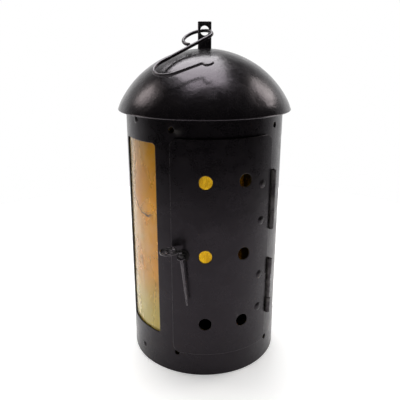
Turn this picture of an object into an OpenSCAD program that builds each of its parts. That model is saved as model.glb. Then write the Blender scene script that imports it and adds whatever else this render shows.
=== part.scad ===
// Candle lantern: a sheet-iron cylinder with four horn windows, a hinged
// ventilated door, a domed top with a hanging hook, and a candle in a socket.
// Millimetres, +Z up. The origin is the centre of the underside, and the
// middle of the door faces -Y. An azimuth is measured from -Y towards +X.

/* [Body] */
// Outer diameter of the cylindrical shell
shell_d = 130; // [126:1:134]
// Thickness of the sheet iron
sheet = 1; // [0.8:0.1:1.1]
// Height of the shell's top edge, hidden under the dome
shell_top = 222; // [221:0.5:222.5]

/* [Dome] */
// Radius of the crown's arc
crown_r = 78.5; // [77:0.5:80]
// Radius of the shoulder's arc
shoulder_r = 38.6; // [38:0.1:39]
// Height of the dome's lower edge
rim_z = 216.6; // [215:0.1:218]
// Radius at the dome's rolled lower edge
rim_r = 71.6; // [71.2:0.1:72]

/* [Windows] */
// Angle that each window takes of the circle
window_angle = 38; // [34:1:39]
// Height of the windows' sill
window_z0 = 34; // [33:1:38]
// Height of the windows' head
window_z1 = 197; // [190:1:198]
// Thickness of a horn pane
pane_t = 1; // [0.8:0.1:1.1]

/* [Door] */
// Half of the angle that the door panel takes of the circle
door_half_angle = 37; // [36.5:0.1:37]
// Lower edge of the door panel
door_z0 = 21.7; // [20.5:0.1:23]
// Upper edge of the door panel
door_z1 = 202.7; // [201:0.1:203.5]
// Radius of the door panel's corners
door_corner = 7; // [4:0.5:9]
// Diameter of the six ventilation holes
vent_d = 10.5; // [8:0.5:11]
// Height between the rows of ventilation holes
vent_pitch = 59.9; // [56:0.1:60]

/* [Hook] */
// Diameter of the hook's wire
hook_wire_d = 2.8; // [2.4:0.1:2.8]
// Angle below the horizontal at which the hook lies on the dome
hook_tilt = 27; // [25:0.5:29.5]

/* [Candle] */
// Diameter of the candle
candle_d = 22; // [20:0.5:22.2]
// Height of the candle's top above the base
candle_top = 64; // [50:1:70]

/* [Hidden] */
$fn = 96;

iron = [0.11, 0.11, 0.12];
horn = [0.85, 0.72, 0.45];
wax = [0.93, 0.85, 0.62];

// Shell
shell_r = shell_d / 2;
shell_ri = shell_r - sheet;

// Windows: the left one, then the others round the back, evenly pitched
window_pitch = 70.25;
window_left = -68.4;
window_az = [for (i = [0:3]) window_left - i * window_pitch];
window_corner = 3;
pane_r1 = shell_ri - 0.3;
pane_r0 = pane_r1 - pane_t;
pane_overlap = 4;
pane_overlap_z = 4.5;

// Small round vents in the shell, over and under the door's corners and on the rear struts
small_vent_r = 2.3;
vent_high_z = 208.5;
vent_low_z = 20;
vent_high_az = [-36.3, 42.5, 115.7, 186.0];
vent_low_az = [-34.5, 41.1, 115.7, 186.0];

// Door opening in the shell
opening_az0 = -31.5;
opening_az1 = 31;
opening_z0 = 28;
opening_z1 = 196;
opening_corner = 5;

// Door sheet, standing off the shell by the thickness of the hinge leaves
leaf_t = 0.75;
door_gap = 0.35;
leaf_ri = shell_r + door_gap;
door_ri = leaf_ri + leaf_t;
door_ro = door_ri + sheet;
vent_az = 13.5;
vent_mid_z = 110.4;

// Hinges
hinge_az = 39.2;
hinge_r = 68;
hinge_pin_r = 0.9;
hinge_bore_r = hinge_pin_r + 0.05;
knuckle_gap = 0.3;
shell_leaf_az1 = 54;
shell_leaf_r0 = shell_ri - 1;
shell_leaf_r1 = shell_ri - 0.05;
door_leaf_az0 = 24;
door_leaf_az1 = 36.6;
// Each hinge: bottom, lower joint, upper joint, top, end knuckle radius, middle knuckle radius
upper_hinge = [124.6, 139.5, 161.3, 173.7, 2.2, 2.2];
lower_hinge = [47.7, 61, 84, 97.4, 2.3, 1.65];
// Heights of the rivets that hold the leaves to the door
door_rivet_az = 28;
door_rivet_z = [165, 135, 87.5, 57.5];

// Base and dome fixings
pan_r = shell_ri - 0.1;
pan_ri = pan_r - sheet;
pan_floor_t = 1.2;
pan_top = 17;
collar_z0 = 203.5;
collar_flange_r = 66.3;
rivet_r = 1.45;
rivet_hole_r = 1.5;
base_rivet_z = 12.5;
dome_rivet_z = 212.5;

// Dome profile
apex_z = 264.5;
crown_z = apex_z - crown_r;
shoulder_x = 34.6;
shoulder_z = crown_z + sqrt(pow(crown_r - shoulder_r, 2) - pow(shoulder_x, 2));

// Hanging strap
strap_w = 11;
strap_t = 1.6;
strap_top = 285;
strap_hole_r = 3.7;
strap_hole_z = 278;
strap_foot_z = 261.6;
strap_foot_t = 1;
strap_foot_l = 10;

// Hook: direction in which it leans, and its path in its own plane.
// A step is [0, length] for a straight stretch or [radius, turn] for a bend.
hook_lean = -135;
hook_eye_r = 11.6;
hook_eye_centre = [11.6, -0.3];
hook_cut_angle = -8;
hook_path = [
    [hook_eye_r, -227], [4.5, -62], [0, 45], [13.3, 162], [0, 19], [2.2, -95], [3.4, 140]
];

// Latch: a spindle through the door with an eye outside, and a pin in the eye
latch_az = -28.3;
latch_z = 111;
latch_lean = 6;
spindle_r = 1.65;
spindle_hole_r = 1.72;
spindle_neck_r = 2.2;
eye_wire_r = 0.9;
eye_r = 2.65;
eye_centre_r = 72.3;
washer_r = 4.9;
washer_r0 = door_ro + 0.2;
washer_r1 = washer_r0 + 0.6;
tongue_l = 12;
tongue_w = 5;
tongue_r0 = 59.6;
tongue_r1 = 60.8;
spacer_r = 2.9;
pin_tip_r = 0.85;
pin_root_r = 1.3;
pin_wire_r = 1.05;
pin_length = 41;
pin_bend_r = 3.4;
scroll_z = 7.3;
scroll_path = [[7.3, -180], [6, -180], [3.8, -180], [2.5, -100]];

// Candle and its socket
socket_ri = 11.35;
socket_t = 0.9;
socket_top = 27;
tray_r = 30;
tray_t = 0.8;
tray_z = pan_floor_t + 0.05;
socket_z = tray_z + tray_t + 0.05;
candle_z = socket_z + 2;
wick_r = 0.75;
wick_top = candle_top + 7;
socket_rivet_r = 1.6;
socket_rivet_head_r = 2.8;
socket_rivet_sink = 1;

// Degrees of azimuth that an arc length takes at a radius
function arc_deg(length, r) = length / r * 180 / PI;

// ---- Shared shapes ----

// Places children at an azimuth, height and radius, with +Z outwards and +Y up
module radial(az, z, r) {
    rotate([0, 0, az]) translate([0, -r, z]) rotate([90, 0, 0]) children();
}

// A ring of rectangular section
module tube(r_in, r_out, z0, z1) {
    difference() {
        translate([0, 0, z0]) cylinder(r = r_out, h = z1 - z0);
        translate([0, 0, z0 - 1]) cylinder(r = r_in, h = z1 - z0 + 2);
    }
}

// A sector of a tube between two azimuths
module sector(r_in, r_out, az0, az1, z0, z1) {
    rotate([0, 0, az0 - 90])
        rotate_extrude(angle = az1 - az0)
            translate([r_in, z0]) square([r_out - r_in, z1 - z0]);
}

// What is cut from one corner of a curved plate to round it. The arc meets the
// plate's edges at a slight angle.
module corner_waste(az, z, r_in, r_out, c, side_x, side_y) {
    radial(az, z, r_in - 1)
        linear_extrude(r_out - r_in + 2)
            difference() {
                translate([side_x > 0 ? 0 : -c - 1, side_y > 0 ? 0 : -c - 1]) square(c + 1);
                circle(1.02 * c);
            }
}

// A sector with its four corners rounded
module curved_plate(r_in, r_out, az0, az1, z0, z1, c) {
    turn = arc_deg(c, (r_in + r_out) / 2);
    difference() {
        sector(r_in, r_out, az0, az1, z0, z1);
        for (side_x = [-1, 1], side_y = [-1, 1])
            corner_waste(
                side_x < 0 ? az0 + turn : az1 - turn, side_y < 0 ? z0 + c : z1 - c,
                r_in, r_out, c, side_x, side_y
            );
    }
}

// A low spherical cap standing on Z = 0
module cap(r, h) {
    ball = (r * r + h * h) / (2 * h);
    intersection() {
        translate([0, 0, h - ball]) sphere(r = ball);
        cylinder(r = r + 1, h = h + 1);
    }
}

// A rivet through sheets between two radii, with a capped head outside and a flat tail inside.
// The flat tail clears the hollow of the sheet by a hair.
module rivet(az, z, r_in, r_out, shank, head_r, head_h, tail_r, tail_h) {
    radial(az, z, r_in - 0.1) cylinder(r = shank, h = r_out - r_in + 0.1);
    radial(az, z, r_out) cap(head_r, head_h);
    radial(az, z, r_in - tail_h - 0.05) cylinder(r = tail_r, h = tail_h);
}

// Bends a round wire along steps, starting at the origin and heading along +X.
// Every other stretch is a hair thinner and laps into its neighbours.
module wire(steps, r, i = 0) {
    if (i < len(steps)) {
        bend = steps[i][0];
        amount = steps[i][1];
        side = sign(amount);
        thin = i % 2 == 1;
        lap = thin ? 0.1 : 0;
        thick = thin ? 0.97 * r : r;
        if (bend == 0) {
            translate([-lap, 0, 0]) rotate([0, 90, 0]) cylinder(r = thick, h = amount + 2 * lap);
            translate([amount, 0, 0]) wire(steps, r, i + 1);
        } else {
            over = arc_deg(lap, bend);
            translate([0, side * bend, 0])
                rotate([0, 0, (side > 0 ? -90 : 90 + amount) - over])
                    rotate_extrude(angle = abs(amount) + 2 * over) translate([bend, 0]) circle(r = thick);
            translate([bend * sin(abs(amount)), side * bend * (1 - cos(amount)), 0])
                rotate([0, 0, amount]) wire(steps, r, i + 1);
        }
    }
}

// ---- Body of the lantern ----

module shell() {
    color(iron)
        difference() {
            tube(shell_ri, shell_r, 0, shell_top);
            for (az = window_az)
                curved_plate(
                    shell_ri - 1, shell_r + 1, az - window_angle / 2, az + window_angle / 2,
                    window_z0, window_z1, window_corner
                );
            curved_plate(
                shell_ri - 1, shell_r + 1, opening_az0, opening_az1,
                opening_z0, opening_z1, opening_corner
            );
            for (az = vent_high_az) radial(az, vent_high_z, shell_ri - 1) cylinder(r = small_vent_r, h = 4);
            for (az = vent_low_az) radial(az, vent_low_z, shell_ri - 1) cylinder(r = small_vent_r, h = 4);
            for (az = window_az, z = [base_rivet_z, dome_rivet_z])
                radial(az, z, shell_ri - 1) cylinder(r = rivet_hole_r, h = 4);
            for (hinge = [upper_hinge, lower_hinge]) hinge_slots(hinge);
        }
}

// Slots in the shell that the necks of the shell leaf pass through
module hinge_slots(hinge) {
    for (span = [[hinge[0], hinge[1]], [hinge[2], hinge[3]]])
        rotate([0, 0, hinge_az])
            translate([hinge[4] - leaf_t - 0.3, -shell_r - 1, span[0] - 0.2])
                cube([leaf_t + 0.6, 3, span[1] - span[0] + 0.4]);
}

module base_pan() {
    color(iron)
        difference() {
            union() {
                cylinder(r = pan_r, h = pan_floor_t);
                tube(pan_ri, pan_r, 0, pan_top);
            }
            translate([0, 0, -1]) cylinder(r = socket_rivet_r, h = pan_floor_t + 2);
            cylinder(r1 = socket_rivet_head_r, r2 = socket_rivet_r, h = socket_rivet_sink);
            for (az = window_az) radial(az, base_rivet_z, pan_ri - 1) cylinder(r = rivet_hole_r, h = 3);
        }
}

module base_rivets() {
    color(iron)
        for (az = window_az) rivet(az, base_rivet_z, pan_ri, shell_r, rivet_r, 2.6, 1, 2.2, 0.7);
}

module dome_section(offset_in) {
    intersection() {
        union() {
            difference() {
                translate([0, crown_z]) circle(r = crown_r - offset_in, $fn = 360);
                polygon([
                    [0, crown_z], [3 * shoulder_x, crown_z + 3 * (shoulder_z - crown_z)],
                    [200, 0], [0, 0]
                ]);
            }
            translate([shoulder_x, shoulder_z]) circle(r = shoulder_r - offset_in, $fn = 360);
            translate([0, rim_z - 5]) square([shoulder_x, shoulder_z - rim_z + 35]);
        }
        translate([0, rim_z]) square([100, 60]);
    }
}

module dome() {
    edge_r = 0.75;
    color(iron)
        difference() {
            rotate_extrude()
                union() {
                    difference() {
                        dome_section(0);
                        dome_section(sheet);
                        translate([-1, rim_z - 1]) square([30, 20]);
                    }
                    translate([rim_r - edge_r, rim_z + edge_r]) circle(r = edge_r);
                }
            translate([-strap_w / 2 - 0.2, -strap_t / 2 - 0.2, apex_z - 8])
                cube([strap_w + 0.4, strap_t + 0.4, 12]);
        }
}

module dome_collar() {
    color(iron)
        difference() {
            union() {
                tube(pan_ri, pan_r, collar_z0, shell_top + sheet);
                tube(pan_ri, collar_flange_r, shell_top, shell_top + sheet);
            }
            for (az = vent_high_az) radial(az, vent_high_z, pan_ri - 1) cylinder(r = small_vent_r, h = 3);
            for (az = window_az) radial(az, dome_rivet_z, pan_ri - 1) cylinder(r = rivet_hole_r, h = 3);
        }
}

module dome_rivets() {
    color(iron)
        for (az = window_az) rivet(az, dome_rivet_z, pan_ri, shell_r, rivet_r, 2.6, 1, 2.2, 0.7);
}

module hanging_strap() {
    color(iron)
        difference() {
            union() {
                translate([-strap_w / 2, -strap_t / 2, strap_foot_z])
                    cube([strap_w, strap_t, strap_top - strap_foot_z]);
                translate([-strap_w / 2, -strap_foot_l - strap_t / 2, strap_foot_z])
                    cube([strap_w, 2 * strap_foot_l + strap_t, strap_foot_t]);
            }
            translate([0, strap_t, strap_hole_z])
                rotate([90, 0, 0]) cylinder(r = strap_hole_r, h = 2 * strap_t);
        }
}

module hanging_hook() {
    color(iron)
        translate([0, 0, strap_hole_z])
            rotate([0, 0, hook_lean])
                rotate([0, hook_tilt, 0])
                    translate([
                        hook_eye_centre[0] + hook_eye_r * cos(hook_cut_angle),
                        hook_eye_centre[1] + hook_eye_r * sin(hook_cut_angle), 0
                    ])
                        rotate([0, 0, hook_cut_angle - 90]) wire(hook_path, hook_wire_d / 2);
}

// ---- Horn windows ----

module pane(i) {
    half = window_angle / 2 + pane_overlap;
    color(horn)
        sector(
            pane_r0, pane_r1, window_az[i] - half, window_az[i] + half,
            window_z0 - pane_overlap_z, window_z1 + pane_overlap_z
        );
}

module pane_left() {
    pane(0);
}

module pane_rear_left() {
    pane(1);
}

module pane_rear_right() {
    pane(2);
}

module pane_right() {
    pane(3);
}

// Bent tabs, soldered to the shell beside each pane, that hold its corners
module pane_clips() {
    half = window_angle / 2 + pane_overlap + 0.3;
    foot = 2.2;
    lip = 2.4;
    clip_h = 7;
    color(iron)
        for (az = window_az, side = [-1, 1], z = [window_z0, window_z1 - clip_h]) {
            edge = az + side * half;
            heel = edge + side * foot;
            toe = edge - side * lip;
            sector(pane_r0 - 1, shell_ri, min(edge, heel), max(edge, heel), z, z + clip_h);
            sector(
                pane_r0 - 0.95, pane_r0 - 0.15,
                min(edge + side * foot / 2, toe), max(edge + side * foot / 2, toe),
                z + 0.05, z + clip_h - 0.05
            );
        }
}

// ---- Candle and socket ----

module drip_tray() {
    color(iron)
        difference() {
            translate([0, 0, tray_z])
                rotate_extrude()
                    polygon([
                        [0, 0], [tray_r - 3, 0], [tray_r, 4.5], [tray_r - 0.9, 4.5],
                        [tray_r - 3.6, tray_t], [0, tray_t]
                    ]);
            cylinder(r = socket_rivet_r, h = 10);
        }
}

module candle_socket() {
    color(iron)
        difference() {
            union() {
                translate([0, 0, socket_z]) cylinder(r = socket_ri + socket_t, h = socket_top - socket_z);
                translate([0, 0, socket_top - 0.6])
                    rotate_extrude() translate([socket_ri + socket_t, 0]) circle(r = 0.6);
            }
            translate([0, 0, socket_z + sheet]) cylinder(r = socket_ri, h = socket_top);
            cylinder(r = socket_rivet_r, h = 10);
        }
}

module socket_rivet() {
    color(iron) {
        cylinder(r1 = socket_rivet_head_r - 0.05, r2 = socket_rivet_r - 0.05, h = socket_rivet_sink);
        cylinder(r = socket_rivet_r - 0.05, h = socket_z + sheet);
        translate([0, 0, socket_z + sheet]) cap(socket_rivet_head_r, 0.9);
    }
}

module candle() {
    color(wax)
        difference() {
            union() {
                translate([0, 0, candle_z]) cylinder(d = candle_d, h = candle_top - candle_z - 2.5);
                translate([0, 0, candle_top - 2.5]) cylinder(d1 = candle_d, d2 = candle_d - 5, h = 2.5);
            }
            translate([0, 0, candle_top + 6]) sphere(r = 9);
            translate([0, 0, candle_z - 1]) cylinder(r = wick_r + 0.02, h = candle_top);
        }
}

module wick() {
    color("white") translate([0, 0, candle_z + 0.5]) cylinder(r = wick_r, h = wick_top - candle_z - 0.5);
}

// ---- Hinges ----

// Places children on a hinge's axis, with +X along the shell away from the door
module on_hinge() {
    rotate([0, 0, hinge_az]) translate([0, -hinge_r, 0]) children();
}

module hinge_shell_leaf(hinge) {
    color(iron)
        difference() {
            union() {
                for (span = [[hinge[0], hinge[1]], [hinge[2], hinge[3]]]) {
                    on_hinge() translate([0, 0, span[0]]) cylinder(r = hinge[4], h = span[1] - span[0]);
                    on_hinge() translate([hinge[4] - leaf_t, 0, span[0]])
                        cube([leaf_t, hinge_r - shell_leaf_r0 - 0.1, span[1] - span[0]]);
                }
                sector(
                    shell_leaf_r0, shell_leaf_r1, hinge_az + arc_deg(hinge[4] - leaf_t, shell_leaf_r0),
                    shell_leaf_az1, hinge[0], hinge[3]
                );
            }
            on_hinge() translate([0, 0, hinge[0] - 1]) cylinder(r = hinge_bore_r, h = hinge[3] - hinge[0] + 2);
        }
}

module hinge_door_leaf(hinge, rivet_heights) {
    z0 = hinge[1] + knuckle_gap;
    z1 = hinge[2] - knuckle_gap;
    color(iron)
        difference() {
            union() {
                on_hinge() translate([0, 0, z0]) cylinder(r = hinge[5], h = z1 - z0);
                on_hinge() translate([-hinge[5], 0, z0]) cube([leaf_t, hinge_r - leaf_ri - 0.1, z1 - z0]);
                sector(
                    leaf_ri + 0.03, door_ri - 0.03, door_leaf_az1 - 0.5,
                    hinge_az - arc_deg(hinge[5] - leaf_t / 2, leaf_ri), z0, z1
                );
                sector(leaf_ri, door_ri, door_leaf_az0, door_leaf_az1, hinge[0], hinge[3]);
            }
            on_hinge() translate([0, 0, z0 - 1]) cylinder(r = hinge_bore_r, h = z1 - z0 + 2);
            for (z = rivet_heights)
                radial(door_rivet_az, z, leaf_ri - 1) cylinder(r = rivet_hole_r, h = 3);
        }
}

// A pin with a head on top and a peened end below
module hinge_pin(hinge) {
    color(iron)
        on_hinge() {
            translate([0, 0, hinge[0] - 0.5]) cylinder(r = hinge_pin_r, h = hinge[3] - hinge[0] + 1);
            translate([0, 0, hinge[3] + 0.1]) cap(hinge[4] - 0.5, 0.9);
            translate([0, 0, hinge[0] - 0.6]) cylinder(r = hinge[4] - 0.8, h = 0.5);
        }
}

module upper_hinge_shell_leaf() {
    hinge_shell_leaf(upper_hinge);
}

module lower_hinge_shell_leaf() {
    hinge_shell_leaf(lower_hinge);
}

module upper_hinge_door_leaf() {
    hinge_door_leaf(upper_hinge, [door_rivet_z[0], door_rivet_z[1]]);
}

module lower_hinge_door_leaf() {
    hinge_door_leaf(lower_hinge, [door_rivet_z[2], door_rivet_z[3]]);
}

module upper_hinge_pin() {
    hinge_pin(upper_hinge);
}

module lower_hinge_pin() {
    hinge_pin(lower_hinge);
}

// ---- Door ----

module door_panel() {
    color(iron)
        difference() {
            curved_plate(door_ri, door_ro, -door_half_angle, door_half_angle, door_z0, door_z1, door_corner);
            for (az = [-vent_az, vent_az], row = [-1:1])
                radial(az, vent_mid_z + row * vent_pitch, door_ri - 2) cylinder(d = vent_d, h = 5);
            for (z = door_rivet_z)
                radial(door_rivet_az, z, door_ri - 1) cylinder(r = rivet_hole_r, h = 4);
            radial(latch_az, latch_z, door_ri - 1) cylinder(r = spindle_hole_r, h = 4);
        }
}

module door_rivets() {
    color(iron)
        for (z = door_rivet_z) rivet(door_rivet_az, z, leaf_ri, door_ro, rivet_r, 3.6, 1, 2.2, 0.7);
}

// ---- Latch ----

// Places children on the latch's axis at a radius: +Z outwards, +Y up, with the latch's own lean
module on_latch(r) {
    radial(latch_az, latch_z, r) rotate([0, 0, latch_lean]) children();
}

module latch_spindle() {
    end_r = eye_centre_r - eye_r;
    color(iron) {
        on_latch(tongue_r0 - 0.1) cylinder(r = spindle_r, h = end_r - tongue_r0 + 0.1);
        on_latch(tongue_r0 - 0.8) cylinder(r = 2.4, h = 0.7);
        on_latch(washer_r1 + 0.05) cylinder(r = spindle_neck_r, h = end_r - washer_r1 - 0.05);
        on_latch(eye_centre_r)
            rotate([90, 0, 0]) rotate_extrude() translate([eye_r, 0]) circle(r = eye_wire_r);
    }
}

module latch_washer() {
    color(iron)
        on_latch(washer_r0)
            difference() {
                cylinder(r = washer_r, h = washer_r1 - washer_r0);
                translate([0, 0, -1]) cylinder(r = spindle_hole_r, h = 4);
            }
}

module latch_spacer() {
    color(iron)
        on_latch(tongue_r1 + 0.05)
            difference() {
                cylinder(r = spacer_r, h = door_ri - tongue_r1 - 0.35);
                translate([0, 0, -1]) cylinder(r = spindle_hole_r, h = 8);
            }
}

module latch_tongue() {
    color(iron)
        on_latch(tongue_r0)
            difference() {
                union() {
                    cylinder(d = tongue_w, h = tongue_r1 - tongue_r0);
                    translate([-tongue_w / 2, -tongue_l + tongue_w / 2, 0])
                        cube([tongue_w, tongue_l - tongue_w / 2, tongue_r1 - tongue_r0]);
                    translate([0, -tongue_l + tongue_w / 2, 0])
                        cylinder(d = tongue_w, h = tongue_r1 - tongue_r0);
                }
                translate([0, 0, -1]) cylinder(r = spindle_hole_r, h = 4);
            }
}

// The pin: a tapered shank with a shoulder above the eye, bent outwards into a flat scroll
module latch_pin() {
    bend_z = scroll_z - pin_bend_r;
    color(iron)
        on_latch(eye_centre_r)
            rotate([-90, 0, 0]) {
                translate([0, 0, -pin_length + pin_tip_r])
                    cylinder(r1 = pin_tip_r, r2 = pin_root_r, h = pin_length - pin_tip_r);
                translate([0, 0, -pin_length + pin_tip_r]) sphere(r = pin_tip_r);
                cylinder(r = pin_root_r, h = 1.3);
                translate([0, 0, 1.2]) cylinder(r1 = pin_root_r, r2 = 2.1, h = 0.8);
                translate([0, 0, 2]) cylinder(r1 = 2.1, r2 = pin_wire_r, h = bend_z - 2.2);
                translate([0, 0, bend_z - 0.4])
                    rotate([0, -90, 0]) wire([[0, 0.4], [pin_bend_r, -90]], pin_wire_r);
                translate([0, -pin_bend_r, scroll_z])
                    rotate([0, 0, -90]) wire(scroll_path, pin_wire_r);
            }
}

shell();
base_pan();
base_rivets();
dome();
dome_collar();
dome_rivets();
hanging_strap();
hanging_hook();
pane_left();
pane_right();
pane_rear_right();
pane_rear_left();
pane_clips();
drip_tray();
candle_socket();
socket_rivet();
candle();
wick();
upper_hinge_shell_leaf();
lower_hinge_shell_leaf();
upper_hinge_pin();
lower_hinge_pin();
door_panel();
upper_hinge_door_leaf();
lower_hinge_door_leaf();
door_rivets();
latch_spindle();
latch_washer();
latch_spacer();
latch_tongue();
latch_pin();
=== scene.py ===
"""Looks of the candle lantern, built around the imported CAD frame.

Lengths below are in millimetres, as in the CAD source, and scaled to metres by MM.
An azimuth is measured from -Y (the middle of the door) towards +X.
"""
import math

import bpy
from mathutils import Euler, Matrix, Vector, noise
from mathutils.geometry import delaunay_2d_cdt


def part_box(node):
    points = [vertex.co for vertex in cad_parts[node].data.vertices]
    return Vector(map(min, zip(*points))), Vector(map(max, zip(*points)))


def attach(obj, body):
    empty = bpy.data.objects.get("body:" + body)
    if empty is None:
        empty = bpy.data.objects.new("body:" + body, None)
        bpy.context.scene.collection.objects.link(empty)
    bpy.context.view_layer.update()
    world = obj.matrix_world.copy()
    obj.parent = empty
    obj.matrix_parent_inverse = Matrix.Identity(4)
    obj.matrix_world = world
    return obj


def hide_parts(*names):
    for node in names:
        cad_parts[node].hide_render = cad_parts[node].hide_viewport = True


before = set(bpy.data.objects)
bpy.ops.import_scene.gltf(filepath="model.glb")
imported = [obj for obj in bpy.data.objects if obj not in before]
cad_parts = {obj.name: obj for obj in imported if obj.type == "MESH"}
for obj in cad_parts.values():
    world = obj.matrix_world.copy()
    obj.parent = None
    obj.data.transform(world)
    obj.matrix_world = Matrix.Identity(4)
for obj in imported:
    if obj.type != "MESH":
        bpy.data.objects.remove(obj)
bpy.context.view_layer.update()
MM = 0.001
TAU = 2 * math.pi
LEFT_WINDOW_AZ = -68.4


# ---------------------------------------------------------------- materials
class Nodes:
    """A short way to write a material's node tree."""

    def __init__(self, name):
        self.material = bpy.data.materials.new(name)
        self.material.use_nodes = True
        self.tree = self.material.node_tree
        self.tree.nodes.clear()
        self.out = self.add("ShaderNodeOutputMaterial")
        self.shader = self.add("ShaderNodeBsdfPrincipled")
        self.link(self.shader.outputs[0], self.out.inputs["Surface"])
        self.where = self.add("ShaderNodeTexCoord").outputs["Object"]

    def add(self, kind, **values):
        node = self.tree.nodes.new(kind)
        for key, value in values.items():
            setattr(node, key, value)
        return node

    def link(self, a, b):
        self.tree.links.new(a, b)

    def put(self, name, value):
        """A constant set on the shader's own socket."""
        self.shader.inputs[name].default_value = value

    def math(self, operation, *inputs):
        node = self.add("ShaderNodeMath", operation=operation)
        for i, value in enumerate(inputs):
            if hasattr(value, "is_output"):
                self.link(value, node.inputs[i])
            else:
                node.inputs[i].default_value = value
        return node.outputs[0]

    def stretched(self, x, y, z):
        node = self.add("ShaderNodeMapping")
        self.link(self.where, node.inputs["Vector"])
        node.inputs["Scale"].default_value = (x, y, z)
        return node.outputs[0]

    def noise(self, scale, detail=3.0, roughness=0.5, where=None, distortion=0.0):
        node = self.add("ShaderNodeTexNoise")
        self.link(where or self.where, node.inputs["Vector"])
        node.inputs["Scale"].default_value = scale
        node.inputs["Detail"].default_value = detail
        node.inputs["Roughness"].default_value = roughness
        node.inputs["Distortion"].default_value = distortion
        return node.outputs[0]

    def cells(self, scale):
        node = self.add("ShaderNodeTexVoronoi", feature="SMOOTH_F1")
        self.link(self.where, node.inputs["Vector"])
        node.inputs["Scale"].default_value = scale
        return node.outputs["Distance"]

    def spread(self, value, low, high, to_low=0.0, to_high=1.0):
        node = self.add("ShaderNodeMapRange", clamp=True)
        self.link(value, node.inputs[0])
        for i, v in enumerate((low, high, to_low, to_high)):
            node.inputs[i + 1].default_value = v
        return node.outputs[0]

    def blend(self, factor, a, b):
        node = self.add("ShaderNodeMix", data_type="RGBA")
        for value, socket in ((factor, node.inputs[0]), (a, node.inputs[6]), (b, node.inputs[7])):
            if hasattr(value, "is_output"):
                self.link(value, socket)
            else:
                socket.default_value = value
        return node.outputs[2]

    def bump(self, height, strength, distance, after=None):
        node = self.add("ShaderNodeBump")
        self.link(height, node.inputs["Height"])
        node.inputs["Strength"].default_value = strength
        node.inputs["Distance"].default_value = distance
        if after is not None:
            self.link(after, node.inputs["Normal"])
        return node.outputs[0]

    def drive(self, name, output):
        self.link(output, self.shader.inputs[name])


def iron(
    name, rough=(0.27, 0.42), planished=0.0, wear=0.6, waves=1.0, grain=1.0, level=0.5, bare=0.0, ior=1.34,
):
    """Iron with a satin black finish: soft mottling, faint dents, grain, and paler worn edges.

    rough is the range of roughness, planished the strength of hammer marks, wear how pale the edges are,
    waves and grain the strength of dents and of fine texture, level the shader's specular level, and bare
    how much metal shows through.
    """
    n = Nodes(name)
    n.put("IOR", ior)
    n.put("Specular Tint", (1.0, 0.86, 1.0, 1))
    n.put("Specular IOR Level", level)
    broad = n.noise(26, 4, 0.55)
    patches = n.noise(95, 5, 0.6, distortion=0.6)
    fine = n.noise(1500, 3, 0.6)
    tone = n.blend(n.spread(broad, 0.3, 0.7), (0.0016, 0.0013, 0.0016, 1), (0.0042, 0.0034, 0.0038, 1))
    tone = n.blend(n.spread(patches, 0.50, 0.78, 0, 0.55), tone, (0.0095, 0.0078, 0.0076, 1))
    edge = n.add("ShaderNodeNewGeometry").outputs["Pointiness"]
    scuffed = n.math("MULTIPLY", n.spread(edge, 0.515, 0.60), n.spread(patches, 0.40, 0.62, 0.15, wear))
    if bare:
        rubbed = n.spread(n.noise(330, 4, 0.6, distortion=0.8), 0.46, 0.66, 0, bare)
        scuffed = n.math("MAXIMUM", scuffed, rubbed)
        n.drive("Metallic", n.math("MULTIPLY", scuffed, 0.7))
    worn = (0.26, 0.25, 0.245, 1) if bare else (0.105, 0.098, 0.092, 1)
    tone = n.blend(scuffed, tone, worn)
    specks = n.math("MULTIPLY", n.spread(n.noise(700, 2, 0.5), 0.72, 0.80), n.spread(broad, 0.45, 0.7))
    tone = n.blend(n.math("MULTIPLY", specks, 0.35), tone, (0.06, 0.056, 0.052, 1))
    n.drive("Base Color", tone)
    gloss = n.spread(n.noise(60, 6, 0.65, distortion=0.4), 0.3, 0.72, *rough)
    gloss = n.math("ADD", gloss, n.spread(fine, 0.3, 0.7, -0.03, 0.04))
    n.drive("Roughness", n.math("SUBTRACT", gloss, n.math("MULTIPLY", scuffed, 0.06)))
    surface = n.bump(n.noise(32, 2, 0.45), 0.5 * waves, 0.0016)
    if planished:
        surface = n.bump(n.cells(105), planished, 0.0012, surface)
    surface = n.bump(n.noise(240, 4, 0.6), 0.16 * grain, 0.0004, surface)
    n.drive("Normal", n.bump(fine, 0.12 * grain, 0.00012, surface))
    return n.material


def crack(n, height, sideways):
    """Where the crack runs: from the far side of the sheet down to the middle, as a fine ragged line."""
    line = n.math("MULTIPLY_ADD", n.math("MULTIPLY", sideways, sideways), 30.0, 0.1390)
    line = n.math("ADD", line, n.math("MULTIPLY", sideways, -0.55))
    line = n.math("ADD", line, n.spread(n.noise(190, 4, 0.7), 0.25, 0.75, -0.0015, 0.0015))
    gap = n.math("ABSOLUTE", n.math("SUBTRACT", height, line))
    near = n.math("MULTIPLY", n.spread(gap, 0.0010, 0.00035), n.spread(sideways, 0.0150, 0.0110))
    return n.math("MULTIPLY", near, n.spread(sideways, -0.0190, -0.0170))


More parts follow.
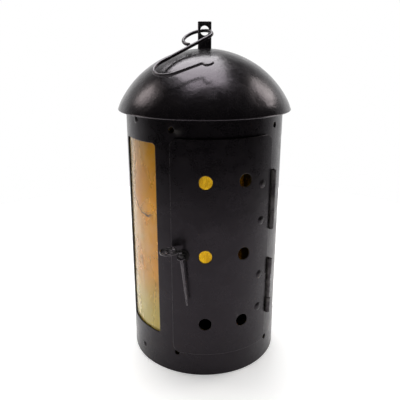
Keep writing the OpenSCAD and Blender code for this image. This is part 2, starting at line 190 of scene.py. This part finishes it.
def cracked_tone(n, clouds, blots, fibres):
    """The left sheet: peach clouds, brown above, yellow below, amber near the door as painted glow of light
    come through the rear sheet, and a far side made pale as painted highlight.
    """
    parts = n.add("ShaderNodeSeparateXYZ")
    n.link(n.where, parts.inputs[0])
    height = parts.outputs[2]
    along = n.add("ShaderNodeVectorMath", operation="DOT_PRODUCT")
    n.link(n.where, along.inputs[0])
    az = math.radians(LEFT_WINDOW_AZ)
    along.inputs[1].default_value = (math.cos(az), math.sin(az), 0)
    sideways = along.outputs["Value"]
    tone = n.blend(n.spread(clouds, 0.36, 0.62), (0.97, 0.72, 0.32, 1), (0.94, 0.46, 0.06, 1))
    # amber near the door, broken up by blots: painted glow of light come through the rear sheet
    amber = n.math("MULTIPLY", n.spread(sideways, -0.001, 0.013), n.spread(blots, 0.34, 0.60, 0.45, 1.0))
    tone = n.blend(amber, tone, (0.97, 0.50, 0.02, 1))
    # an orange spot near the door at mid height: painted glow of light come through the rear sheet
    from_spot = n.math("ABSOLUTE", n.math("SUBTRACT", height, 0.146))
    painted_glow = n.math("MULTIPLY", n.spread(from_spot, 0.022, 0.004), n.spread(sideways, 0.000, 0.012))
    tone = n.blend(n.math("MULTIPLY", painted_glow, 0.85), tone, (1.0, 0.52, 0.01, 1))
    tone = n.blend(n.spread(height, 0.150, 0.196, 0, 0.55), tone, (0.56, 0.32, 0.035, 1))
    tone = n.blend(n.spread(height, 0.085, 0.050, 0, 0.75), tone, (0.88, 0.77, 0.17, 1))
    tone = n.blend(n.spread(fibres, 0.58, 0.80, 0, 0.25), tone, (0.60, 0.33, 0.06, 1))
    # the far side made pale cream: painted highlight of the left lamp and of grazing reflection
    tone = n.blend(n.spread(sideways, -0.008, -0.018, 0, 0.65), tone, (0.97, 0.88, 0.62, 1))
    return n.blend(crack(n, height, sideways), tone, (0.085, 0.034, 0.006, 1))


def clear_tone(n, clouds, blots, fibres):
    """The other sheets: deep amber with brown blots and fibres."""
    tone = n.blend(n.spread(clouds, 0.36, 0.62), (0.72, 0.45, 0.022, 1), (0.50, 0.28, 0.012, 1))
    tone = n.blend(n.spread(blots, 0.52, 0.74, 0, 0.75), tone, (0.36, 0.17, 0.008, 1))
    return n.blend(n.spread(fibres, 0.52, 0.72, 0, 0.35), tone, (0.40, 0.21, 0.012, 1))


def horn(name, tone_of, transmission):
    """Pressed horn, with a colour made of clouds, blots and long fibres by tone_of."""
    n = Nodes(name)
    n.put("IOR", 1.47)
    n.put("Transmission Weight", transmission)
    clouds = n.noise(34, 5, 0.58, n.stretched(1, 1, 0.45), 0.8)
    blots = n.noise(62, 4, 0.55, n.stretched(1, 1, 0.6), 1.2)
    fibres = n.noise(120, 4, 0.6, n.stretched(1, 1, 0.06), 0.3)
    n.drive("Base Color", tone_of(n, clouds, blots, fibres))
    n.drive("Roughness", n.spread(clouds, 0.3, 0.7, 0.18, 0.32))
    surface = n.bump(n.noise(55, 3, 0.5, n.stretched(1, 1, 0.4)), 0.5, 0.002)
    n.drive("Normal", n.bump(fibres, 0.25, 0.0003, surface))
    return n.material


def wax(name):
    """Beeswax: honey yellow, a little translucent, with bloom and handling marks."""
    n = Nodes(name)
    n.put("IOR", 1.44)
    n.put("Subsurface Weight", 0.35)
    n.put("Subsurface Radius", (0.006, 0.0035, 0.0015))
    clouds = n.noise(70, 4, 0.55)
    tone = n.blend(n.spread(clouds, 0.35, 0.7), (0.80, 0.55, 0.19, 1), (0.88, 0.68, 0.34, 1))
    tone = n.blend(n.spread(n.noise(420, 3, 0.6), 0.6, 0.8, 0, 0.4), tone, (0.93, 0.85, 0.66, 1))
    n.drive("Base Color", tone)
    n.drive("Roughness", n.spread(clouds, 0.3, 0.7, 0.38, 0.58))
    n.drive("Normal", n.bump(n.noise(180, 4, 0.6, n.stretched(1, 1, 0.35)), 0.3, 0.0005))
    return n.material


def cotton(name):
    """A braided cotton wick: waxed below, charred above."""
    n = Nodes(name)
    parts = n.add("ShaderNodeSeparateXYZ")
    n.link(n.where, parts.inputs[0])
    braid = n.add("ShaderNodeTexWave", wave_type="BANDS", bands_direction="DIAGONAL")
    n.link(n.where, braid.inputs["Vector"])
    braid.inputs["Scale"].default_value = 900
    braid.inputs["Distortion"].default_value = 1.5
    tone = n.blend(n.spread(braid.outputs[1], 0.2, 0.8), (0.42, 0.36, 0.26, 1), (0.62, 0.56, 0.44, 1))
    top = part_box("wick")[1][2]
    tone = n.blend(n.spread(parts.outputs[2], top - 0.0065, top - 0.003), tone, (0.012, 0.010, 0.009, 1))
    n.drive("Base Color", tone)
    n.put("Roughness", 0.85)
    n.drive("Normal", n.bump(braid.outputs[1], 0.7, 0.0002))
    return n.material


SHEET = iron("iron_sheet", rough=(0.22, 0.37), waves=0.8, ior=1.33)
DOME = iron("iron_dome", planished=0.12, rough=(0.19, 0.31), waves=0.6, grain=2.2, ior=1.42)
WIRE = iron("iron_wire", rough=(0.22, 0.36), wear=0.9, waves=0.3, grain=1.6, ior=1.45)
SMALL = iron("iron_fittings", rough=(0.28, 0.42), wear=0.9, waves=0.3)
WORN = iron("iron_worn", rough=(0.14, 0.25), wear=1.0, waves=0.3, grain=1.2, bare=0.28, ior=1.5)
STRAP = iron("iron_strap", rough=(0.36, 0.52), wear=1.0, waves=0.5, grain=2.0, bare=0.32, ior=1.5)
# dull dark iron with little shine for the latch washer: painted shade standing for the dark hole behind the
# latch eye
SHADE = iron("iron_dull_painted_shade", rough=(0.55, 0.70), wear=0.2, waves=0.3, level=0.125)
HORN = horn("horn_clear", clear_tone, transmission=0.80)
HORN_CRACKED = horn("horn_cracked", cracked_tone, transmission=0.52)
WAX = wax("beeswax")
COTTON = cotton("wick_cotton")


# ---------------------------------------------------------------- mesh helpers
def on_round(az, r, z):
    """A point at an azimuth, radius and height, in metres."""
    a = math.radians(az)
    return Vector((r * math.sin(a), -r * math.cos(a), z)) * MM


def piece(name, verts, faces, material, body, slot, replaces, sharp=50):
    """An object of the lantern that rides on a body and stands for the CAD nodes it replaces."""
    mesh = bpy.data.meshes.new(name)
    mesh.from_pydata([tuple(v) for v in verts], [], faces)
    mesh.validate()
    mesh.update()
    mesh.polygons.foreach_set("use_smooth", [True] * len(mesh.polygons))
    mesh.set_sharp_from_angle(angle=math.radians(sharp))
    mesh.materials.append(material)
    obj = bpy.data.objects.new(name, mesh)
    bpy.context.scene.collection.objects.link(obj)
    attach(obj, body)
    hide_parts(*replaces)


def arc(cx, cy, r, a0, a1, n):
    """Points along an arc, from a0 to a1 degrees."""
    angles = [math.radians(a0 + (a1 - a0) * i / n) for i in range(n + 1)]
    return [(cx + r * math.cos(a), cy + r * math.sin(a)) for a in angles]


def loop_of(points, step):
    """A closed outline with points no further apart than step."""
    out = []
    for i, p in enumerate(points):
        q = points[(i + 1) % len(points)]
        length = math.dist(p, q)
        if length < 1e-6:
            continue
        n = max(1, math.ceil(length / step))
        out += [(p[0] + (q[0] - p[0]) * k / n, p[1] + (q[1] - p[1]) * k / n) for k in range(n)]
    return out


def round_box(x0, x1, y0, y1, c, n=8):
    """A box with corners of radius c."""
    return (
        arc(x1 - c, y0 + c, c, -90, 0, n) + arc(x1 - c, y1 - c, c, 0, 90, n)
        + arc(x0 + c, y1 - c, c, 90, 180, n) + arc(x0 + c, y0 + c, c, 180, 270, n)
    )


def disc(x, y, r, n=32):
    return arc(x, y, r, 0, 360, n)[:-1]


def inset(loop, d):
    """The loop moved to its left by d. An outline that turns left moves inwards."""
    out = []
    n = len(loop)
    for i, p in enumerate(loop):
        a, b = loop[i - 1], loop[(i + 1) % n]
        tx, ty = b[0] - a[0], b[1] - a[1]
        t = math.hypot(tx, ty) or 1
        out.append((p[0] - ty / t * d, p[1] + tx / t * d))
    return out


def span(loop):
    """The lowest and highest x, then the lowest and highest y."""
    xs, ys = [p[0] for p in loop], [p[1] for p in loop]
    return min(xs), max(xs), min(ys), max(ys)


def in_any(p, loops, spans):
    """Whether a point is inside one of the loops, whose spans are known."""
    return any(s[0] < p[0] < s[1] and s[2] < p[1] < s[3] and inside(p, g) for s, g in zip(spans, loops))


def inside(p, loop):
    x, y = p
    hit = False
    for i, (x0, y0) in enumerate(loop):
        x1, y1 = loop[i - 1]
        if (y0 > y) != (y1 > y) and x < (x1 - x0) * (y - y0) / (y1 - y0) + x0:
            hit = not hit
    return hit


def plate(outline, holes, grid, place, edge, step=0.8):
    """Vertices and faces of a sheet with eased edges.

    outline and holes are flat closed loops that turn left, and grid is more flat points.
    place(x, y, side, eased) gives the point in space on the sheet's outer (1) or inner (-1) face.
    """
    loops = [loop_of(outline, step)] + [loop_of(h, min(step, 0.8))[::-1] for h in holes]
    flat, fixed, eased = [], [], []
    for loop in loops:
        for k, d in enumerate((0.0, edge, 2.4 * edge)):
            start = len(flat)
            moved = inset(loop, d) if d else loop
            flat += moved
            eased += [k == 0] * len(moved)
            if k < 2:
                fixed += [(start + i, start + (i + 1) % len(moved)) for i in range(len(moved))]
    shrunk = inset(loops[0], 4 * edge)
    grown = [inset(loop, 4 * edge) for loop in loops[1:]]
    spans = [span(loop) for loop in grown]
    for p in grid:
        if inside(p, shrunk) and not in_any(p, grown, spans):
            flat.append(p)
            eased.append(False)
    points, _, triangles, origin, _, _ = delaunay_2d_cdt([Vector(p) for p in flat], fixed, [], 2, 1e-6)
    soft = [any(eased[k] for k in ids) for ids in origin]
    spans = [span(loop) for loop in loops[1:]]
    kept = []
    for t in triangles:
        c = sum((points[i] for i in t), Vector((0, 0))) / len(t)
        if inside(c, loops[0]) and not in_any(c, loops[1:], spans):
            kept.append(tuple(t))
    n = len(points)
    verts = [place(p[0], p[1], 1, s) for p, s in zip(points, soft)]
    verts += [place(p[0], p[1], -1, s) for p, s in zip(points, soft)]
    sides = dict.fromkeys((a, b) for t in kept for a, b in zip(t, t[1:] + t[:1]))
    faces = list(kept) + [tuple(n + i for i in reversed(t)) for t in kept]
    faces += [(b, a, a + n, b + n) for a, b in sides if (b, a) not in sides]
    return verts, faces


def grid_of(x0, x1, dx, y0, y1, dy):
    """Points about dx by dy apart, with every second column half a step higher."""
    nx, ny = max(1, round((x1 - x0) / dx)), max(1, round((y1 - y0) / dy))
    return [
        (x0 + (x1 - x0) * i / nx, y0 + (y1 - y0) * (j + (0.5 if i % 2 else 0)) / ny)
        for i in range(nx + 1) for j in range(ny + 1)
    ]


def rolled(outline, holes, r_in, r_out, edge, dx, dy, wave, seed):
    """A plate whose flat x is an azimuth times the outer radius, bent round the lantern's axis.

    Its surface wanders by up to wave, in a pattern that seed picks.
    """
    per = 180 / math.pi / r_out

    def place(x, y, side, eased):
        r = r_out if side > 0 else r_in
        if eased:
            r -= side * edge
        lift = noise.noise(Vector((x * 0.035 + seed, y * 0.022, seed))) * wave
        return on_round(x * per, r, y) + on_round(x * per, 1.0, 0) * lift

    x0, x1, y0, y1 = span(outline)
    return plate(outline, holes, grid_of(x0, x1, dx, y0, y1, dy), place, edge)


def around(az, r):
    """The length of an arc of az degrees."""
    return math.radians(az) * r


def tube(points, radii, sides=14, up=(0, 0, 1)):
    """Vertices and faces of a round bar along points, with rounded ends."""
    pts = [Vector(p) for p in points]
    n = len(pts)
    tangents = [(pts[min(i + 1, n - 1)] - pts[max(i - 1, 0)]).normalized() for i in range(n)]
    side = tangents[0].cross(Vector(up))
    side = (side if side.length > 1e-3 else tangents[0].cross(Vector((1, 0, 0)))).normalized()
    verts, rings, frames = [], [], []

    def ring(i, r, ahead=0.0):
        other = tangents[i].cross(frames[i])
        rings.append(len(verts))
        for k in range(sides):
            a = TAU * k / sides
            centre = pts[i] + tangents[i] * ahead
            verts.append(centre + frames[i] * (r * math.cos(a)) + other * (r * math.sin(a)))

    for i in range(n):
        if i:
            side = (side - tangents[i] * side.dot(tangents[i])).normalized()
        frames.append(side.copy())
    rounding = (0.85, 0.5, 0.18)
    for k in rounding:
        ring(0, radii[0] * math.sqrt(1 - k ** 2), -radii[0] * k * 0.8)
    for i in range(n):
        ring(i, radii[i])
    for k in reversed(rounding):
        ring(n - 1, radii[-1] * math.sqrt(1 - k ** 2), radii[-1] * k * 0.8)
    faces = []
    for a, b in zip(rings, rings[1:]):
        faces += [(a + k, a + (k + 1) % sides, b + (k + 1) % sides, b + k) for k in range(sides)]
    faces.append(tuple(rings[0] + k for k in reversed(range(sides))))
    faces.append(tuple(rings[-1] + k for k in range(sides)))
    return verts, faces


def turned(profile, steps, bend):
    """Vertices and faces of a closed profile of (radius, height) turned round the axis.

    bend(p) is how far each point is then moved.
    """
    m = len(profile)
    verts, faces = [], []
    for i in range(steps):
        a = 360 * i / steps
        for r, z in profile:
            p = on_round(a, r, z)
            verts.append(p + bend(p))
    for i in range(steps):
        j = (i + 1) % steps
        for k in range(m):
            q = (k + 1) % m
            faces.append((i * m + k, j * m + k, j * m + q, i * m + q))
    return verts, faces


def joined(*parts):
    """Several shapes' vertices and faces as one."""
    verts, faces = [], []
    for v, f in parts:
        base = len(verts)
        verts += list(v)
        faces += [tuple(base + i for i in face) for face in f]
    return verts, faces


def walk(steps, spacing=0.5):
    """Points along straight stretches (0, length) and bends (radius, turn), from the origin along +X."""
    x, y, heading = 0.0, 0.0, 0.0
    out = [(x, y)]
    for bend, amount in steps:
        if bend == 0:
            n = max(1, round(amount / spacing))
            for _ in range(n):
                x += amount / n * math.cos(heading)
                y += amount / n * math.sin(heading)
                out.append((x, y))
        else:
            turn = math.radians(amount)
            n = max(4, round(abs(turn) * bend / spacing))
            for _ in range(n):
                d = turn / n
                chord = 2 * bend * math.sin(abs(d) / 2)
                heading += d / 2
                x += chord * math.cos(heading)
                y += chord * math.sin(heading)
                heading += d / 2
                out.append((x, y))
    return out


IRON_SLOT, HORN_SLOT = "black_iron", "horn"

# ---------------------------------------------------------------- shell, windows and door
SHELL_R, SHELL_RI, SHELL_TOP = 65.0, 64.0, 222.0
WINDOWS = [LEFT_WINDOW_AZ - 70.25 * i for i in range(4)]
WINDOW_HALF, WINDOW_LOW, WINDOW_HIGH = 19, 34, 197
SMALL_VENTS = [(az, 208.5) for az in (-36.3, 42.5, 115.7, 186.0)]
SMALL_VENTS += [(az, 20) for az in (-34.5, 41.1, 115.7, 186.0)]
SEAM = -103.5


def on_shell(az):
    """Flat x on the shell, which is cut open at the seam."""
    while az < SEAM:
        az += 360
    while az > SEAM + 360:
        az -= 360
    return around(az, SHELL_R)


holes = []
for az in WINDOWS:
    c = on_shell(az)
    half = around(WINDOW_HALF, SHELL_R)
    holes.append(round_box(c - half, c + half, WINDOW_LOW, WINDOW_HIGH, 3))
holes.append(round_box(around(-31.5, SHELL_R), around(31, SHELL_R), 28, 196, 5))
holes += [disc(on_shell(az), z, 2.3, 24) for az, z in SMALL_VENTS]
first, last = on_shell(SEAM + 0.01), on_shell(SEAM + 359.99)
outline = [(first, 0), (last, 0), (last, SHELL_TOP), (first, SHELL_TOP)]
sheet = rolled(outline, holes, SHELL_RI, SHELL_R, 0.22, dx=2.2, dy=7, wave=0.10, seed=3.1)
piece("shell_sheet", *sheet, SHEET, "lantern", IRON_SLOT, ["shell"])

DOOR_RI, DOOR_RO = 66.1, 67.1
LATCH_AZ, LATCH_Z = -28.3, 111.0
VENTS = [(az, 110.4 + row * 59.9) for az in (-13.5, 13.5) for row in (-1, 0, 1)]
door_edge = around(37, DOOR_RO)
holes = [disc(around(az, DOOR_RO), z, 5.25, 40) for az, z in VENTS]
holes.append(disc(around(LATCH_AZ, DOOR_RO), LATCH_Z, 1.75, 20))
outline = round_box(-door_edge, door_edge, 21.7, 202.7, 7, 12)
sheet = rolled(outline, holes, DOOR_RI, DOOR_RO, 0.24, dx=1.8, dy=6, wave=0.22, seed=8.4)
piece("door_sheet", *sheet, SHEET, "door", IRON_SLOT, ["door_panel"])

PANE_RI, PANE_RO, PANE_FLAT_R = 62.75, 63.65, 63.7
PANE_NAMES = ("pane_left", "pane_rear_left", "pane_rear_right", "pane_right")
for i, (name, az) in enumerate(zip(PANE_NAMES, WINDOWS)):
    half = around(WINDOW_HALF + 4, PANE_FLAT_R)
    c = around(az, PANE_FLAT_R)
    outline = round_box(c - half, c + half, WINDOW_LOW - 4.5, WINDOW_HIGH + 4.5, 1.5, 4)
    sheet = rolled(outline, [], PANE_RI, PANE_RO, 0.2, dx=2.5, dy=6, wave=0.30, seed=20.0 + 5 * i)
    piece(name + "_horn", *sheet, HORN_CRACKED if i == 0 else HORN, "lantern", HORN_SLOT, [name])

# ---------------------------------------------------------------- dome
APEX, CROWN_R, SHOULDER_R, SHOULDER_X = 264.5, 78.5, 38.6, 34.6
RIM_Z, RIM_R, ROLL_R = 216.6, 71.6, 0.75
crown_z = APEX - CROWN_R
shoulder_z = crown_z + math.sqrt((CROWN_R - SHOULDER_R) ** 2 - SHOULDER_X ** 2)
knee = math.degrees(math.asin(SHOULDER_X / (CROWN_R - SHOULDER_R)))
rim_fall = math.degrees(math.asin((RIM_Z + ROLL_R - shoulder_z) / SHOULDER_R))


def dome_line(inset_by):
    """The dome's profile from its top to its rim: a flat crown, then a tighter shoulder."""
    crown = arc(0, crown_z, CROWN_R - inset_by, 90, 90 - knee, 40)
    line = crown + arc(SHOULDER_X, shoulder_z, SHOULDER_R - inset_by, 90 - knee, rim_fall, 30)[1:]
    return [(max(r, 0.4), z) for r, z in line[:-1]]


roll = arc(RIM_R - ROLL_R, RIM_Z + ROLL_R, ROLL_R, 0, -200, 10)
profile = dome_line(0) + roll + dome_line(1)[::-1]


def hammered(p):
    """Shallow dents, none of them outwards."""
    out = Vector((p.x, p.y, 0))
    out = out.normalized() if out.length > 1e-6 else Vector((0, 0, 1))
    return -out * (0.5 + 0.5 * noise.noise(p * 45)) * 0.10 * MM * min(1, out.length)


piece("dome_sheet", *turned(profile, 160, hammered), DOME, "lantern", IRON_SLOT, ["dome"])

# ---------------------------------------------------------------- hanging strap and hook
STRAP_TOP, HOLE_Z, FOOT_Z = 285.0, 278.0, 261.6
outline = [(-5.1, FOOT_Z), (5.1, FOOT_Z), (5.5, FOOT_Z + 3)]
outline += arc(4.6, STRAP_TOP - 0.9, 0.9, 0, 80, 4)
for x in (3.0, 0.0, -3.0):
    outline += arc(x, STRAP_TOP - 0.85, 1.35, 35, 145, 6)
outline = [(x, min(z, STRAP_TOP)) for x, z in outline]
outline += arc(-4.6, STRAP_TOP - 0.9, 0.9, 100, 180, 4) + [(-5.5, FOOT_Z + 3)]


def strap_place(x, z, side, eased):
    """The upright strap is thicker along its two folded edges."""
    hem = min(1, max(0, (abs(x) - 4.0) / 0.3))
    depth = 0.50 + 0.30 * hem
    if eased:
        depth -= 0.2
    return Vector((x, -side * depth, z)) * MM


def foot_place(x, y, side, eased):
    return Vector((x, -y, FOOT_Z + 0.5 + side * (0.3 if eased else 0.5))) * MM


columns = (-5.1, -4.6, -4.3, -4.0, -2.6, -1.3, 0, 1.3, 2.6, 4.0, 4.3, 4.6, 5.1)
grid = [(x, FOOT_Z + 0.9 * j) for x in columns for j in range(27)]
strap = plate(outline, [disc(0, HOLE_Z, 3.7, 36)], grid, strap_place, 0.2, 0.6)
grid = grid_of(-5.4, 5.4, 2, -10.7, 10.7, 2)
foot = plate(round_box(-5.4, 5.4, -10.7, 10.7, 1.5, 5), [], grid, foot_place, 0.2, 1.0)
piece("strap_bent", *joined(strap, foot), STRAP, "lantern", IRON_SLOT, ["hanging_strap"])

# the hook's own plane: an eye, a neck, the shank, the round bend, and an arm with a small kick at its end
HOOK_LEAN, HOOK_TILT, HOOK_CUT = -135, 27, -8
HOOK_EYE_R, WIRE_R = 11.6, 1.4
EYE_X, EYE_Y = HOOK_EYE_R, -0.3
HOOK_STEPS = [(HOOK_EYE_R, -227), (4.5, -62), (0, 45), (13.3, 162), (0, 19), (2.2, -95), (3.4, 140)]
line = walk(HOOK_STEPS, 0.6)
cut = math.radians(HOOK_CUT)
start = Vector((EYE_X + HOOK_EYE_R * math.cos(cut), EYE_Y + HOOK_EYE_R * math.sin(cut), 0))
placed = (
    Matrix.Translation((0, 0, HOLE_Z)) @ Matrix.Rotation(math.radians(HOOK_LEAN), 4, "Z")
    @ Matrix.Rotation(math.radians(HOOK_TILT), 4, "Y") @ Matrix.Translation(start)
    @ Matrix.Rotation(math.radians(HOOK_CUT - 90), 4, "Z")
)
total = len(line) - 1
points = [placed @ Vector((x, y, 0)) * MM for x, y in line]
radii = []
for i in range(total + 1):
    t = i / total
    drawn = 1.0 if t < 0.80 else 1.0 - 0.28 * (t - 0.80) / 0.20
    forged = 0.96 + 0.04 * noise.noise(Vector((i * 0.12, 4.2, 0)))
    radii.append(WIRE_R * MM * drawn * forged)
piece("hook_wire", *tube(points, radii, 16), WIRE, "hook", IRON_SLOT, ["hanging_hook"])

# ---------------------------------------------------------------- latch
LEAN, EYE_R = 6.0, 72.3


def latch_frame(r):
    """On the latch's axis: X along the door, Y up and Z outwards, in the CAD frame."""
    return (
        Matrix.Rotation(math.radians(LATCH_AZ), 4, "Z") @ Matrix.Translation((0, -r, LATCH_Z))
        @ Matrix.Rotation(math.radians(90), 4, "X") @ Matrix.Rotation(math.radians(LEAN), 4, "Z")
    )


pin_frame = latch_frame(EYE_R) @ Matrix.Rotation(math.radians(-90), 4, "X")
SCROLL_Z, BEND_R, PIN_LENGTH, TIP_R = 7.3, 3.4, 41, 0.85
pin = []
for k in range(PIN_LENGTH):
    pin.append((Vector((0, 0, TIP_R + k - PIN_LENGTH)), TIP_R + 0.43 * k / (PIN_LENGTH - 1)))
for z, r in ((0.9, 1.32), (1.35, 1.9), (2.2, 2.02), (2.9, 1.45)):
    pin.append((Vector((0, 0, z)), r))
for k in range(7):
    a = math.radians(90 * k / 6)
    pin.append((Vector((0, -BEND_R * (1 - math.cos(a)), SCROLL_Z - BEND_R + BEND_R * math.sin(a))), 1.08))
scroll = walk([(7.3, -180), (6, -180), (3.8, -180), (2.5, -100)], 0.5)
for i, (x, y) in enumerate(scroll[1:]):
    t = i / len(scroll)
    pin.append((Vector((y, -BEND_R - x, SCROLL_Z)), 1.05 - 0.12 * t))
piece(
    "scroll_pin", *tube([pin_frame @ p * MM for p, _ in pin], [r * MM for _, r in pin], 14),
    WORN, "latch_pin", IRON_SLOT, ["latch_pin"],
)

# ---------------------------------------------------------------- candle
wick_box, candle_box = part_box("wick"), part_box("candle")
top, low = candle_box[1][2] / MM, candle_box[0][2] / MM
rc = (candle_box[1][0] - candle_box[0][0]) / 2 / MM
body_line = [(0.80, low), (rc - 0.5, low), (rc, low + 0.5)]
body_line += [(rc, low + 0.5 + (top - low - 3.0) * k / 20) for k in range(1, 21)]
body_line += arc(rc - 2.6, top - 2.4, 2.4, 12, 90, 8)
body_line += [(rc - 4.2, top - 0.5), (rc - 5.8, top - 1.5)]
body_line += [(4.0, top - 2.4), (2.0, top - 2.7), (0.80, top - 2.5)]


def slumped(p):
    """Shallow hollows, deeper in the top 14 mm, where the wax has softened."""
    out = Vector((p.x, p.y, 0)).normalized()
    high = max(0.0, (p.z / MM - (top - 14)) / 14)
    hollow = 0.5 + 0.5 * noise.noise(Vector((p.x * 260, p.y * 260, p.z * 90)))
    return -out * (0.10 + 0.16 * high) * hollow * MM


piece("candle_wax", *turned(body_line, 72, slumped), WAX, "candle", "wax", ["candle"], sharp=60)
WICK_STEPS = 40
wick_low, wick_top = wick_box[0][2] + 0.6 * MM, wick_box[1][2] - 0.8 * MM
points, radii = [], []
for k in range(WICK_STEPS):
    t = k / (WICK_STEPS - 1)
    over = max(0.0, t - 0.90) / 0.10
    points.append(Vector((0.25 * MM * over ** 2, 0, wick_low + (wick_top - wick_low) * t)))
    radii.append((0.50 if k > WICK_STEPS - 4 else 0.62) * MM)
braid = tube(points, radii, 10, up=(1, 0, 0))
piece("wick_braid", *braid, COTTON, "candle", "wick_cotton", ["wick"])

# ---------------------------------------------------------------- CAD nodes that stay
for name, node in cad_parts.items():
    if node.hide_render:
        continue
    small = ("hinge", "rivet", "latch", "clips")
    material = SMALL if any(word in name for word in small) else SHEET
    if name == "latch_spindle":
        material = WORN
    # the washer gets the dull dark iron, painted shade of the hole behind the eye
    elif name == "latch_washer":
        material = SHADE
    for slot in node.material_slots:
        slot.material = material

# ---------------------------------------------------------------- stage, light and camera
FLOOR_R = 0.52
floor_mesh = bpy.data.meshes.new("floor")
ring = [(FLOOR_R * math.cos(TAU * k / 96), FLOOR_R * math.sin(TAU * k / 96), 0) for k in range(96)]
floor_mesh.from_pydata(ring, [], [tuple(range(96))])
floor = bpy.data.objects.new("floor", floor_mesh)
bpy.context.scene.collection.objects.link(floor)
f = Nodes("floor_white")
f.put("Roughness", 0.9)
f.put("Specular IOR Level", 0.1)
f.put("Emission Color", (1, 1, 1, 1))
f.put("Emission Strength", 0.38)
f.drive("Base Color", f.blend(f.spread(f.noise(3), 0.3, 0.7), (0.93, 0.93, 0.93, 1), (0.95, 0.95, 0.95, 1)))
floor_mesh.materials.append(f.material)

# what lights the lantern is bright behind it near the horizon and dim in front. The backdrop itself is white.
CAMERA_YAW, CAMERA_PITCH = math.radians(13.9), math.radians(18.07)
world = bpy.data.worlds.new("studio")
bpy.context.scene.world = world
world.use_nodes = True
tree = world.node_tree
tree.nodes.clear()
out = tree.nodes.new("ShaderNodeOutputWorld")
seen, lit = (tree.nodes.new("ShaderNodeBackground") for _ in range(2))
pick = tree.nodes.new("ShaderNodeMixShader")
seen.inputs[0].default_value = (1, 1, 1, 1)
where = tree.nodes.new("ShaderNodeTexCoord")
ahead = tree.nodes.new("ShaderNodeVectorMath")
ahead.operation = "DOT_PRODUCT"
ahead.inputs[1].default_value = (math.sin(CAMERA_YAW), math.cos(CAMERA_YAW), -0.85)
tree.links.new(where.outputs["Generated"], ahead.inputs[0])
ramp = tree.nodes.new("ShaderNodeMapRange")
ramp.interpolation_type = "SMOOTHSTEP"
for i, v in enumerate((-0.05, 0.85, 0.06, 1.50)):
    ramp.inputs[i + 1].default_value = v
tree.links.new(ahead.outputs["Value"], ramp.inputs[0])
tree.links.new(ramp.outputs[0], lit.inputs[1])
path = tree.nodes.new("ShaderNodeLightPath")
tree.links.new(path.outputs["Is Camera Ray"], pick.inputs[0])
tree.links.new(lit.outputs[0], pick.inputs[1])
tree.links.new(seen.outputs[0], pick.inputs[2])
tree.links.new(pick.outputs[0], out.inputs[0])


def softbox(name, az, el, distance, width, height, power, colour=(1, 1, 1)):
    """An area light in a direction from the lantern's middle, facing it."""
    data = bpy.data.lights.new(name, "AREA")
    data.shape = "RECTANGLE"
    data.size, data.size_y = width, height
    data.energy = power
    data.color = colour
    light = bpy.data.objects.new(name, data)
    bpy.context.scene.collection.objects.link(light)
    centre = Vector((0, 0, 0.2))
    a, e = math.radians(az), math.radians(el)
    away = Vector((math.sin(a) * math.cos(e), -math.cos(a) * math.cos(e), math.sin(e)))
    light.location = centre + away * distance
    light.rotation_mode = "QUATERNION"
    light.rotation_quaternion = away.to_track_quat("Z", "Y")


softbox("light_top", 180, 75, 0.85, 0.60, 0.86, 12.5)
softbox("light_left", -122, 36, 0.95, 0.26, 0.30, 1.6, (1.0, 0.94, 0.88))
softbox("light_right", 100, 35, 0.95, 0.34, 0.36, 2.4, (1.0, 0.95, 0.90))

camera_data = bpy.data.cameras.new("camera")
camera_data.lens = 43.69
camera_data.sensor_width = 36
camera = bpy.data.objects.new("camera", camera_data)
camera.location = (-0.1024, -0.3984, 0.2696)
camera.rotation_euler = Euler((math.pi / 2 - CAMERA_PITCH, 0, -CAMERA_YAW))
bpy.context.scene.collection.objects.link(camera)
bpy.context.scene.camera = camera
bpy.context.scene.view_settings.view_transform = "Standard"
